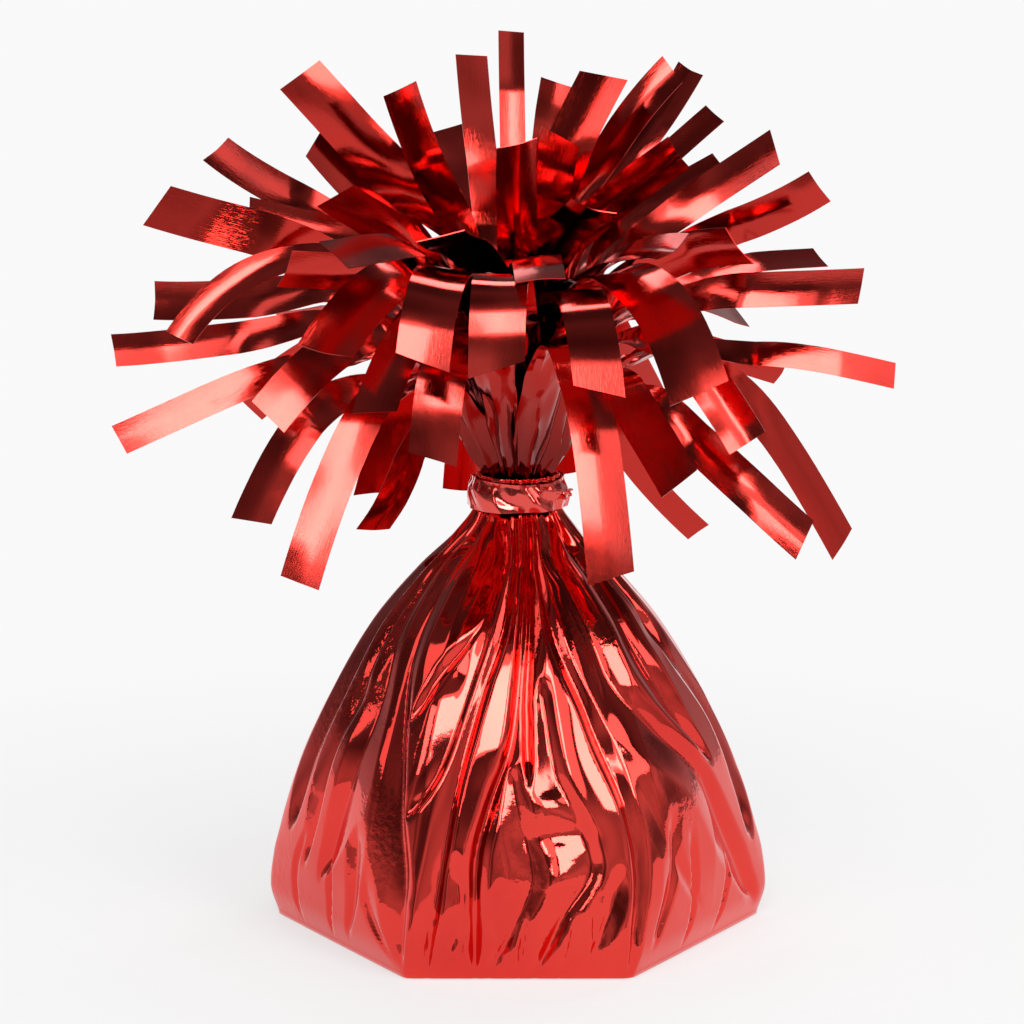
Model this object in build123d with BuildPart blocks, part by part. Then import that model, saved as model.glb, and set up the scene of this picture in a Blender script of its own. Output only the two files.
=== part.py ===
from build123d import *
import math
import os

os.makedirs("parts", exist_ok=True)

# Foil balloon weight, millimetres, +Z up, origin at the centre of the face it
# stands on. +X is to the right and the front looks towards -Y.
# Outside: a sheet of metallised film gathered up round a weighted core and
# closed at the neck by a twist tie. Above the tie a bundle of cut film strips
# fans out in six layers. Inside: base plate, moulded core shell, cast fill.

# Film stock (both the wrapper and the strips)
FILM = 0.3                # wall of the wrapper
STRIP_FILM = 0.25         # thickness of a cut strip

# Foot and core
SIDES = 6                 # the foot is a hexagon
FOOT_R = 36.2             # corner radius of the wrapped foot
PLATE_GAP = 0.7           # between the plate's edge and the film
PLATE_T = 1.6             # base plate
SHELL_SET = 1.6           # the shell's rim stands in from the plate's edge
SHELL_H = 26.0            # core shell, rim to crown
SHELL_TOP_R = 24.8        # corner radius of the crown
SHELL_WALL = 1.5
FILL_GAP = 0.1            # between the cast fill and the shell

# Wrapper. Film over the core: share of the core's height, slack of the film over
# the core's corner. Film above the core: share of the way up to the neck, share
# of the way in to it. Then for each row: hexagon share (1 hexagon, 0 round),
# pleat depth, half angle of a pleat's valley in degrees.
FLARE_H = 5.0             # the film bellies out this high above the foot
FLARE_OUT = 1.4           # and stands this far out past the foot
CROWN_SLACK = 4.1         # slack of the film over the core's crown
NECK_Z = 63.7             # where the tie's lower edge grips
NECK_R = 6.25             # outside radius of the gathered neck
NECK_LIP = 0.4            # film standing above the tie
NECK_EASE = 0.3           # the gathers close this far below the tie
FOOT_FOLDS = (1.0, 0.15, 0.9)
FLARE_FOLDS = (0.96, 0.6, 1.6)
OVER_CORE = [
    (0.50, 5.1, 0.65, 1.9, 3.4),
    (0.90, 4.4, 0.42, 2.6, 5.0),
]
ABOVE_CORE = [
    (0.226, 0.163, 0.28, 3.0, 5.6),
    (0.506, 0.411, 0.15, 2.8, 6.0),
    (0.729, 0.675, 0.05, 2.0, 6.0),
    (0.883, 0.870, 0.00, 1.2, 5.8),
]
PLEAT_COUNT_A_SIDE = 3    # gathers to each side of the foot
NECK_PLEAT = 0.22         # pleat depth left where the tie squeezes
NECK_VALLEY = 5.0         # half angle of a valley there
SWAY = 2.4                # how far a gather wanders round, degrees

# Twist tie
TIE_H = 4.4               # width of the tie's flat ribbon
TIE_T = 0.65
TIE_GAP = 0.08            # between neck and tie
WIRE_D = 0.36
WIRE_GAP = 0.01
TAIL_FROM = -48.0         # the twisted ends lie along the ribbon, degrees
TAIL_TO = -8.0
TAIL_W = 1.5
TAIL_T = 0.6
TAIL_TURN = 540.0         # twist over the tail's length, degrees
TAIL_STEPS = 12

# Fringe: root radius, strips, first root's azimuth and outward lean per layer,
# outermost layer first.
ROOT_DEPTH = 5.0          # length of strip held in the gathered neck
INNER_ROOT_R = 1.97       # where the innermost layer is gripped
NECK_CLEAR = 0.25         # between the outermost strips and the film
ROOT_SHARE = 0.86         # share of its slot that a strip's root fills
LAYERS = [
    (12, -165.0, 30.0),
    (12, -180.0, 23.0),
    (12, -165.0, 16.0),
    (12, -180.0, 10.0),
    (10, -180.0, 5.0),
    (8, -180.0, 1.0),
]
# Strips of each layer in order round the neck. Each row: tip x, tip y, tip
# height above the tie, pitch and roll at the tip in degrees, strip width, how
# far it rises from the neck and how far its end swings.
FRINGE = [
    [
        (-39, -10, -5, -66, -60, 5.6, 20, 32),
        (-31, -31, -10, -62, -40, 5.4, 26, 44),
        (-12, -37, 9, -74, -15, 6.4, 26, 34),
        (13, -37, -8, -76, 15, 6.2, 27, 48),
        (23, -25, 3, -46, 30, 6.2, 25, 30),
        (42, -14, -7, -38, 60, 5.8, 25, 36),
        (50, 8, -12, -60, -80, 5.2, 26, 44),
        (28, 24, -13, -38, -70, 3.6, 22, 32),
        (8, 44, -8, -62, 0, 6.0, 26, 38),
        (-9, 44, -10, -66, 0, 6.0, 26, 38),
        (-23, 32, -8, -66, 20, 6.0, 23, 34),
        (-22, 9, -10, -58, 35, 5.2, 18, 24),
    ],
    [
        (-59, -4, 6, -24, -70, 4.4, 32, 30),
        (-36, -20, 12, -46, -55, 6.0, 28, 30),
        (-20, -40, 16, -55, -20, 5.6, 29, 28),
        (-3, -46, 23, -78, 0, 7.2, 30, 26),
        (25, -41, 19, -62, 25, 8.2, 30, 30),
        (33, -19, 8, -56, 55, 5.8, 25, 30),
        (56, 0, 15, -14, 70, 3.6, 27, 28),
        (41, 24, 12, -16, -70, 4.2, 28, 26),
        (21, 42, 5, -45, -20, 6.0, 29, 30),
        (1, 52, 2, -45, 0, 6.2, 29, 30),
        (-21, 42, 3, -50, 20, 6.0, 29, 30),
        (-42, 24, 7, -38, 65, 6.0, 27, 28),
    ],
    [
        (-49, -15, 23, -56, -60, 4.2, 32, 26),
        (-27, -34, 24, -40, -35, 7.2, 32, 24),
        (-13, -47, 24, -70, -10, 7.0, 33, 26),
        (11, -47, 20, -64, 8, 6.4, 32, 28),
        (31, -29, 38, 10, -60, 6.0, 28, 24),
        (50, -11, 30, 4, 80, 4.8, 31, 28),
        (46, 15, 31, 6, 30, 4.4, 31, 26),
        (35, 36, 19, -10, 30, 6.0, 32, 26),
        (13, 54, 15, -18, 15, 6.0, 32, 26),
        (-14, 54, 15, -18, -15, 6.0, 32, 26),
        (-37, 38, 17, -15, 40, 6.0, 32, 26),
        (-61, 7, 18, -4, -75, 4.6, 33, 28),
    ],
    [
        (-53, -4, 41, 17, 85, 6.2, 33, 26),
        (-33, -24, 34, 4, 60, 6.0, 34, 24),
        (-25, -41, 39, 0, -30, 6.0, 35, 22),
        (3, -46, 35, -24, 8, 6.4, 36, 22),
        (22, -40, 38, 2, 30, 6.0, 38, 22),
        (43, -17, 45, 32, -80, 5.0, 37, 24),
        (38, 2, 49, 33, 75, 4.8, 33, 25),
        (31, 20, 45, 24, 50, 3.8, 33, 24),
        (21, 44, 34, 12, 25, 6.0, 34, 24),
        (-1, 54, 34, 12, 0, 6.0, 34, 24),
        (-48, 43, 45, 26, -65, 5.0, 33, 26),
        (-56, 19, 24, 0, -75, 5.6, 34, 28),
    ],
    [
        (-30, 3, 50, 50, -70, 5.0, 32, 22),
        (-26, -20, 44, 36, 45, 6.0, 36, 22),
        (-11, -36, 41, 20, 20, 6.2, 38, 22),
        (10, -34, 43, 24, -28, 6.0, 38, 22),
        (23, -16, 50, 34, -65, 5.2, 33, 22),
        (23, 4, 60, 46, 60, 4.8, 32, 24),
        (30, 22, 52, 30, 45, 3.6, 34, 24),
        (27, 42, 57, 40, 35, 4.2, 34, 24),
        (-11, 34, 49, 46, -15, 6.0, 34, 22),
        (-41, 22, 37, 8, -70, 4.4, 35, 24),
    ],
    [
        (-32, -3, 60, 48, 80, 6.8, 32, 24),
        (-17, -15, 59, 68, 60, 4.8, 28, 22),
        (0, -17, 51, 68, 15, 5.6, 28, 20),
        (6, -14, 52, 66, -30, 5.6, 28, 20),
        (12, -2, 60, 64, -75, 7.2, 28, 22),
        (6, 8, 58, 70, 20, 5.0, 28, 22),
        (-1, 18, 65, 84, -5, 3.6, 28, 22),
        (-7, 10, 62, 80, -25, 4.4, 28, 22),
    ],
]
ROLL_FROM = 0.3           # a strip starts to roll at this share of its length
ROLL_OVER = 0.55          # and has its full roll after this much more
STATIONS = (0.08, 0.18, 0.29, 0.41, 0.53, 0.65, 0.77, 0.89, 1.0)
RUN_TURN = 60.0           # most that one run of a strip bends, degrees

# Sizes that follow from the ones above
TIE_TOP = NECK_Z + TIE_H
TIE_IN = NECK_R + TIE_GAP
TIE_MID = TIE_IN + TIE_T / 2
PLATE_R = FOOT_R - FILM - PLATE_GAP
PLATE_TOP = FILM + PLATE_T
SHELL_R = PLATE_R - SHELL_SET
PLEATS = SIDES * PLEAT_COUNT_A_SIDE
CROWN_Z = PLATE_TOP + SHELL_H
NECK_IN = NECK_R - NECK_PLEAT - FILM


def hexagon_share(angle):
    """Radius of a hexagon of corner radius 1 at that angle, corners on X."""
    half = math.pi / SIDES
    turned = (angle + half) % (2 * half) - half
    return math.cos(half) / math.cos(half - abs(turned))


def skirt_rows():
    """All heights of the wrapper, foot to lip: height, corner radius and folds."""
    rows = [(0.0, FOOT_R, *FOOT_FOLDS), (FLARE_H, FOOT_R + FLARE_OUT, *FLARE_FOLDS)]
    for share, slack, *folds in OVER_CORE:
        z = share * CROWN_Z
        core = SHELL_R + (SHELL_TOP_R - SHELL_R) * (z - PLATE_TOP) / SHELL_H
        rows.append((z, core + slack, *folds))
    crown = SHELL_TOP_R + CROWN_SLACK
    for share, inward, *folds in ABOVE_CORE:
        z = CROWN_Z + (NECK_Z - CROWN_Z) * share
        rows.append((z, crown + (NECK_R - crown) * inward, *folds))
    rows.append((NECK_Z - NECK_EASE, NECK_R, 0.0, NECK_PLEAT, NECK_VALLEY))
    rows.append((TIE_TOP + NECK_LIP, NECK_R, 0.0, NECK_PLEAT, NECK_VALLEY))
    return rows


def pleat_outline(row, inset):
    """Corner points of the pleated wrapper at one height."""
    z, corner, hexed, depth, valley = row
    points = []
    open_share = min(1.0, depth / 1.3)
    for k in range(PLEATS):
        middle = 2 * math.pi * k / PLEATS
        middle += math.radians(SWAY) * math.sin(2.3 * k) * open_share
        spread = math.radians(valley)
        dip = depth * (0.75 + 0.45 * math.sin(2.4 * k + 0.7) ** 2) if open_share == 1.0 else depth
        for angle, inward in ((middle - spread, 0.0), (middle, dip), (middle + spread, 0.0)):
            size = hexed * hexagon_share(angle) + 1.0 - hexed
            reach = corner * size - inward - inset
            points.append((reach * math.cos(angle), reach * math.sin(angle)))
    return points


def bezier(ends, t):
    """Point and direction on a cubic curve given by four points."""
    a, b, c, d = ends
    s = 1.0 - t
    point = a * s ** 3 + b * (3 * s * s * t) + c * (3 * s * t * t) + d * t ** 3
    along = (b - a) * (s * s) + (c - b) * (2 * s * t) + (d - c) * (t * t)
    return point, along.normalized()


def smooth(share):
    share = min(1.0, max(0.0, share))
    return share * share * (3.0 - 2.0 * share)


def strip_sections(row, root_angle, root_r, lean, root_w):
    """Planes and widths along one strip, from its root in the neck to its tip."""
    x, y, up, pitch, roll, width, rise, swing = row
    tip = Vector(x, y, TIE_TOP + up)
    tip_angle = math.atan2(y, x)
    out = Vector(math.cos(root_angle), math.sin(root_angle), 0)
    tip_out = Vector(math.cos(tip_angle), math.sin(tip_angle), 0)
    side = Vector(-math.sin(root_angle), math.cos(root_angle), 0)
    start = out * root_r + Vector(0, 0, TIE_TOP + NECK_LIP)
    leaning = math.radians(lean)
    leave = out * math.sin(leaning) + Vector(0, 0, math.cos(leaning))
    pitching = math.radians(pitch)
    arrive = tip_out * math.cos(pitching) + Vector(0, 0, math.sin(pitching))
    ends = (start, start + leave * rise, tip - arrive * swing, tip)
    turn = (tip_angle - root_angle + math.pi) % (2 * math.pi) - math.pi
    sections = []
    for below in (ROOT_DEPTH, 0.0):
        held = start - Vector(0, 0, below)
        sections.append((Plane(held, x_dir=side, z_dir=(0, 0, 1)), root_w))
    for t in STATIONS:
        point, along = bezier(ends, t)
        angle = root_angle + turn * smooth(t)
        across = Vector(-math.sin(angle), math.cos(angle), 0)
        across = (across - along * across.dot(along)).normalized()
        normal = along.cross(across)
        rolled = math.radians(roll) * smooth((t - ROLL_FROM) / ROLL_OVER)
        across = across * math.cos(rolled) + normal * math.sin(rolled)
        reach = math.hypot(point.X, point.Y)
        wide = min(width, root_w * reach / root_r)
        sections.append((Plane(point, x_dir=across, z_dir=along), wide))
    return sections


def film_strip(sections):
    """One strip, lofted in runs that each turn by less than RUN_TURN."""
    runs = [sections[:1]]
    for section in sections[1:]:
        first = runs[-1][0][0]
        if len(runs[-1]) > 1 and section[0].z_dir.get_angle(first.z_dir) > RUN_TURN:
            runs.append(runs[-1][-1:])
        runs[-1].append(section)
    with BuildPart() as strip:
        for run in runs:
            for plane, wide in run:
                with BuildSketch(plane):
                    Rectangle(wide, STRIP_FILM)
            loft(ruled=True)
    return strip.part


# Base plate: a stiff card hexagon under the core
with BuildPart() as base_plate:
    with BuildSketch(Plane.XY.offset(FILM)):
        RegularPolygon(PLATE_R, SIDES)
    extrude(amount=PLATE_T)
base_plate.part.label = "base_plate"
export_step(base_plate.part, "parts/base_plate.step")

# Core shell: a moulded hexagonal cup turned over, open at the bottom
with BuildPart() as core_shell:
    with BuildSketch(Plane.XY.offset(PLATE_TOP)):
        RegularPolygon(SHELL_R, SIDES)
    with BuildSketch(Plane.XY.offset(PLATE_TOP + SHELL_H)):
        RegularPolygon(SHELL_TOP_R, SIDES)
    loft(ruled=True)
    offset(
        amount=-SHELL_WALL,
        openings=core_shell.faces().sort_by(Axis.Z)[0],
        kind=Kind.INTERSECTION,
    )
core_shell.part.label = "core_shell"
export_step(core_shell.part, "parts/core_shell.step")

# Cast fill: sets inside the shell and is closed off by the plate
wall_lean = math.atan2((SHELL_R - SHELL_TOP_R) * math.cos(math.pi / SIDES), SHELL_H)
wall_in = (SHELL_WALL + FILL_GAP) / math.cos(wall_lean) / math.cos(math.pi / SIDES)
crown_in = SHELL_WALL + FILL_GAP
fill_top_r = SHELL_TOP_R + (SHELL_R - SHELL_TOP_R) * crown_in / SHELL_H - wall_in
with BuildPart() as ballast_fill:
    with BuildSketch(Plane.XY.offset(PLATE_TOP)):
        RegularPolygon(SHELL_R - wall_in, SIDES)
    with BuildSketch(Plane.XY.offset(PLATE_TOP + SHELL_H - crown_in)):
        RegularPolygon(fill_top_r, SIDES)
    loft(ruled=True)
ballast_fill.part.label = "ballast_fill"
export_step(ballast_fill.part, "parts/ballast_fill.step")

# Wrapper: the gathered film, closed under the foot and open at the neck
with BuildPart() as foil_wrapper:
    for row in skirt_rows():
        with BuildSketch(Plane.XY.offset(row[0])):
            Polygon(*pleat_outline(row, 0.0), align=None)
    loft(ruled=True)
    for row in skirt_rows():
        with BuildSketch(Plane.XY.offset(max(row[0], FILM))):
            Polygon(*pleat_outline(row, FILM), align=None)
    loft(ruled=True, mode=Mode.SUBTRACT)
foil_wrapper.part.label = "foil_wrapper"
export_step(foil_wrapper.part, "parts/foil_wrapper.step")

# Twist tie: a flat film ribbon moulded round a soft wire, its ends twisted
# together and pressed back along the ribbon
with BuildPart() as tie_band:
    with BuildSketch(Plane.XY.offset(NECK_Z)):
        Circle(TIE_IN + TIE_T)
        Circle(TIE_IN, mode=Mode.SUBTRACT)
    extrude(amount=TIE_H)
    for i in range(TAIL_STEPS + 1):
        share = i / TAIL_STEPS
        angle = math.radians(TAIL_FROM + (TAIL_TO - TAIL_FROM) * share)
        reach = TIE_IN + TIE_T + 0.3 * TAIL_W
        out = Vector(math.cos(angle), math.sin(angle), 0)
        ahead = Vector(-math.sin(angle), math.cos(angle), 0)
        twist = math.radians(TAIL_TURN * share)
        across = Vector(0, 0, 1) * math.cos(twist) + out * math.sin(twist)
        with BuildSketch(Plane(out * reach + Vector(0, 0, NECK_Z + 0.4 * TIE_H), x_dir=across, z_dir=ahead)):
            Rectangle(TAIL_W, TAIL_T)
    loft(ruled=True)
    with BuildSketch(Plane.XZ):
        with Locations((TIE_MID, NECK_Z + 0.5 * TIE_H)):
            Circle(WIRE_D / 2 + WIRE_GAP)
    revolve(axis=Axis.Z, mode=Mode.SUBTRACT)
tie_band.part.label = "tie_band"
export_step(tie_band.part, "parts/tie_band.step")

# The tie's soft wire
with BuildPart() as tie_wire:
    with BuildSketch(Plane.XZ):
        with Locations((TIE_MID, NECK_Z + 0.5 * TIE_H)):
            Circle(WIRE_D / 2)
    revolve(axis=Axis.Z)
tie_wire.part.label = "tie_wire"
export_step(tie_wire.part, "parts/tie_wire.step")

# Fringe: six layers of cut strips, gripped in the neck and fanning out above it
outer_half = math.sin(math.pi / LAYERS[0][0]) * ROOT_SHARE
layer_r = (NECK_IN - NECK_CLEAR) / math.sqrt(1.0 + outer_half ** 2) - STRIP_FILM / 2
layer_pitch = (layer_r - INNER_ROOT_R) / (len(LAYERS) - 1)
for number, (count, first, lean) in enumerate(LAYERS, start=1):
    root_w = 2 * layer_r * math.sin(math.pi / count) * ROOT_SHARE
    strips = []
    for slot, row in enumerate(FRINGE[number - 1]):
        root_angle = math.radians(first + 360.0 * slot / count)
        strips.append(film_strip(strip_sections(row, root_angle, layer_r, lean, root_w)))
    layer = Compound(label=f"fringe_layer_{number}", children=strips)
    export_step(layer, f"parts/fringe_layer_{number}.step")
    print(layer.label, len(layer.solids()), "strips, root radius", round(layer_r, 2))
    layer_r -= layer_pitch
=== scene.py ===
import math

import bpy
import numpy as np
from bpy.props import FloatProperty, FloatVectorProperty, PointerProperty
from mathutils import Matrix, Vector, noise


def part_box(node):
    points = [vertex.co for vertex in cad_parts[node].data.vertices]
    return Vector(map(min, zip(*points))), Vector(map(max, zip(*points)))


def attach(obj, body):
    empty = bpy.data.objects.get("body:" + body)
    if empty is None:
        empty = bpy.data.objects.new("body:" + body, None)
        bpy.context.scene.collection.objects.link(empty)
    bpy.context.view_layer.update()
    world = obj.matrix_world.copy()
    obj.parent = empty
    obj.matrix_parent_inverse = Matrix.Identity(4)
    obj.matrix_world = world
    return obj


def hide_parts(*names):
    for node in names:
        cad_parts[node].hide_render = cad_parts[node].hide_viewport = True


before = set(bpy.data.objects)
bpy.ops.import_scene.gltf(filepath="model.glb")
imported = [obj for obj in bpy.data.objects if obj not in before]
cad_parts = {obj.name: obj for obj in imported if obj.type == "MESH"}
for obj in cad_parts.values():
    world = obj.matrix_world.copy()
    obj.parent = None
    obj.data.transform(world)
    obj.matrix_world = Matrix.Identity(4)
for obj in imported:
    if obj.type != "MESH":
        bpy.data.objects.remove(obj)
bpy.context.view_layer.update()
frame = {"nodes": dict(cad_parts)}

bl_info = {
    "name": "Foil Balloon Weight",
    "version": (1, 0, 0),
    "blender": (4, 5, 0),
    "location": "3D View > Sidebar > Balloon Weight",
    "description": "Gathered film skirt, twist tie and cut-film fringe on a weighted core",
    "category": "Object",
}

MM = 0.001
TIE_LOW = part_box("tie_band")[0].z / MM
TIE_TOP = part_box("tie_band")[1].z / MM
LIP_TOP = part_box("foil_wrapper")[1].z / MM

# Gathered skirt, foot to lip. Each row: height, corner radius and hexagon share.
SIDES = 6
FOOT_CORNERS = (-180.0, -116.5, -63.5, 0.0, 60.0, 120.0, 180.0)
CORNER_SOFT = 0.8         # a corner of the foot is softened over this many degrees
SKIRT = [
    (0.0, 36.7, 1.0),
    (5.0, 38.1, 0.96),
    (10.0, 37.5, 0.80),
    (14.0, 36.4, 0.65),
    (25.0, 33.0, 0.42),
    (36.0, 27.8, 0.28),
    (46.0, 21.8, 0.15),
    (54.0, 15.0, 0.05),
    (59.5, 9.5, 0.0),
    (TIE_LOW + 1.2, 6.25, 0.0),
    (LIP_TOP, 6.25, 0.0),
]
SKIRT_START = 0.8         # height of the lowest row above the hem
# Film turned in under the foot and in the neck. Each row: share of the radius
# of the skirt's end row, height. The patch closes the foot inside the hem.
HEM_ROWS = ((0.70, 0.10), (0.82, 0.06), (0.95, 0.02), (0.984, 0.06), (0.998, 0.26))
PATCH_SHARES = (0.02, 0.25, 0.5, 0.78)
PATCH_HEIGHT = 0.2
LIP_ROWS = (
    (0.985, LIP_TOP + 0.1),
    (0.955, LIP_TOP + 0.1),
    (0.93, LIP_TOP - 0.1),
    (0.92, TIE_LOW),
)
# Folds of the front, read from the photograph: long ones, then short ones
# at the foot. Each row: width of the face to its left and to its right, depth,
# then azimuths and heights up the fold.
TO_NECK = 90
BACK_TURN = 180.0         # the back has the same folds, half a turn round
FOLDS = [
    (7.0, 2.2, 1.6, ((-117, 1), (-118, 12), (-124, 23), (-130, 34), (-134, 45), (-136, TO_NECK))),
    (2.0, 3.0, 1.2, ((-128, 34), (-119, 43), (-107, 51), (-105, TO_NECK))),
    (5.5, 2.2, 1.5, ((-123, 21), (-118, 25), (-112, 31), (-108, 38), (-104, 50), (-102, TO_NECK))),
    (3.0, 1.6, 1.5, ((-112, 0), (-109, 17), (-107, 27), (-101, 41), (-95, 50), (-90, TO_NECK))),
    (1.8, 2.6, 1.6, ((-101, 0), (-100, 17), (-97, 25), (-89, 36), (-85, 48), (-77, TO_NECK))),
    (2.0, 2.6, 2.2, ((-85, 27), (-84, 38), (-81, 48), (-66, TO_NECK))),
    (4.5, 1.6, 1.5, ((-86, 0), (-79, 9), (-72, 17), (-73, 23), (-77, 30), (-79, 45))),
    (4.0, 2.5, 1.3, ((-98, 0), (-91, 8), (-85, 16), (-88, 24), (-92, 34))),
    (1.8, 2.2, 1.6, ((-64, 0), (-62, 15), (-61, 24), (-65, 37), (-72, 50), (-56, TO_NECK))),
    (1.6, 4.5, 1.2, ((-58, 36), (-57, 44), (-59, 50), (-66, 55))),
    (7.0, 3.2, 1.5, ((-3, 2), (-29, 25), (-45, 34), (-54, 43), (-46, TO_NECK))),
    (3.2, 3.2, 2.0, ((-22, 26), (-34, 36), (-39, 46), (-34, TO_NECK))),
    (2.0, 4.0, 0.6, ((-117, 1), (-129, 8), (-133, 16))),
    (3.2, 7.0, 1.4, ((-154, 9), (-144, 26), (-141, 38), (-146, 50), (-150, TO_NECK))),
    (4.5, 2.4, 1.1, ((-163, 10), (-158, 26), (-154, 38), (-160, TO_NECK))),
    (4.0, 3.2, 1.1, ((-174, 14), (-171, 30), (-168, 41), (-172, TO_NECK))),
    (4.0, 4.0, 1.2, ((-5, 12), (-6, 31), (-15, 43), (-22, TO_NECK))),
    (3.5, 3.5, 0.5, ((-33, 6), (-50, 18), (-56, 30))),
    (2.6, 2.0, 0.9, ((-107, 2), (-104, 11), (-106, 20))),
    (2.0, 2.6, 0.9, ((-93, 1), (-95, 9), (-92, 16))),
    (2.0, 2.8, 1.0, ((-74, 1), (-69, 10), (-66, 18))),
    (3.0, 2.2, 0.8, ((-57, 3), (-50, 12), (-46, 24))),
    (2.6, 2.6, 0.8, ((-141, 2), (-136, 12), (-138, 22))),
    (0.9, 1.4, 0.8, ((-105, 0), (-103, 8), (-100, 14))),
    (1.6, 0.8, 0.9, ((-90, 0), (-88, 9), (-84, 15))),
    (0.9, 1.4, 0.8, ((-80, 0), (-77, 7), (-76, 13))),
    (1.2, 0.8, 0.8, ((-69, 0), (-72, 8), (-71, 15))),
    (0.9, 1.8, 0.8, ((-42, 1), (-38, 9), (-40, 20))),
    (1.8, 0.9, 0.8, ((-25, 1), (-19, 11), (-22, 22))),
    (1.8, 0.9, 0.8, ((-150, 1), (-148, 10), (-152, 20))),
    (0.9, 1.6, 0.7, ((-166, 1), (-168, 9), (-164, 18))),
]
FOLD_FULL_R = 25.0        # folds are narrower and shallower where the skirt is slimmer
FOLD_SLIM_POWER = 0.6     # the depth falls off with this power of the slimness
FOLD_OPENS = 11.0         # a fold has its full width this far above its start
FOLD_NARROW = 0.3         # and this share of it at the start
FOLD_FADE_IN = 4.5        # heights over which a fold starts and ends
FOLD_FADE_OUT = 6.0
FOLD_SHARPNESS = 1.15
# Buckles where the film has folded over: azimuth, height, reach round in
# degrees, reach up, depth.
BUCKLES = [
    (-78, 54.5, 14, 2.2, 0.5),
    (-116, 43, 8, 3.0, 0.8),
    (-61, 33, 6, 5.0, 0.9),
    (-98, 27, 6, 4.0, 0.6),
    (-79, 21, 7, 1.7, 0.8),
    (-79, 25.5, 5, 1.5, -0.4),
    (-80, 15, 6, 2.0, -0.5),
    (-150, 36, 9, 4.0, 0.8),
    (-20, 46, 9, 2.5, 0.9),
    (35, 40, 10, 3.0, 0.8),
    (80, 50, 10, 2.0, 0.9),
    (115, 34, 8, 4.0, 0.8),
    (160, 48, 9, 2.2, 0.8),
]
# Uneven film between the folds: the heights where it begins and where it evens
# out, then for each kind its turns round the skirt and the height it runs over.
UNEVEN_FROM = 4.0
UNEVEN_OVER = 16.0
EVEN_FROM = 56.0
EVEN_OVER = 6.0
CREASE_TURNS = 2.8
CREASE_RUN = 46.0
CREASE_REACH = 0.22
CREASE_GAIN = 2.0
SWELL_TURNS = 2.4
SWELL_RUN = 28.0
SWELL_SHIFT = 7.0
LEAN_TURNS = 1.7
LEAN_RUN = 30.0
LEAN_SHIFT = 5.0
LEAN_GAIN = 2.0
SKIRT_COLUMNS = 600
SKIRT_STEP = 0.5

# Twisted ends of the tie: azimuths, twist in degrees, half width.
TAIL_FROM = -40.0
TAIL_TO = -6.0
TAIL_TWIST = 420.0
TAIL_HALF = 0.75
TAIL_ROWS = 50
TAIL_COLUMNS = 7
TAIL_R = 7.2
TAIL_LEVEL = 0.42         # share of the ribbon's width at which the tail lies
TAIL_CLIMB = 0.4
TAIL_TAPER = 0.3
TAIL_PINCH = 0.04         # the tail is pinched over this share of its length
TAIL_LIFT = 0.85
TAIL_LIFT_OVER = 0.2
# Ribbon of the tie: angles and radii where its winding starts and ends.
WIND_TURNS = (-132.0, 262.0)
WIND_RADII = (7.04, 7.22)
RIBBON_COLUMNS = 320
RIBBON_ROWS = 15
RIBBON_INSET = 0.05       # its edges lie this far inside the tie's solid
RIBBON_SWAY = 0.3         # its edges run up and down by about this much
WIRE_HALF = 0.1           # share of the width that lies over the wire, each way
WIRE_EASE = 0.3
TUCK_FROM = 0.62
TUCK_OVER = 0.38
RIBBON_SINK = 0.06        # the ribbon can't sink further over the wire inside it
RIBBON_SLACK = 0.40       # but may sink this much more towards its edges
RIBBON_TUCK = 0.55        # its top edge is drawn in to the neck

# Fringe: strips, first root's azimuth and outward lean of each layer, the
# outermost layer first, and the radius at which each is gripped in the neck.
LAYERS = [
    (12, -165.0, 30.0),
    (12, -180.0, 23.0),
    (12, -165.0, 16.0),
    (12, -180.0, 10.0),
    (10, -180.0, 5.0),
    (8, -180.0, 1.0),
]
OUTER_ROOT_R = 5.22
LAYER_STEP = 0.65
ROOT_DEPTH = 5.0
ROOT_SHARE = 0.86
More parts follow.
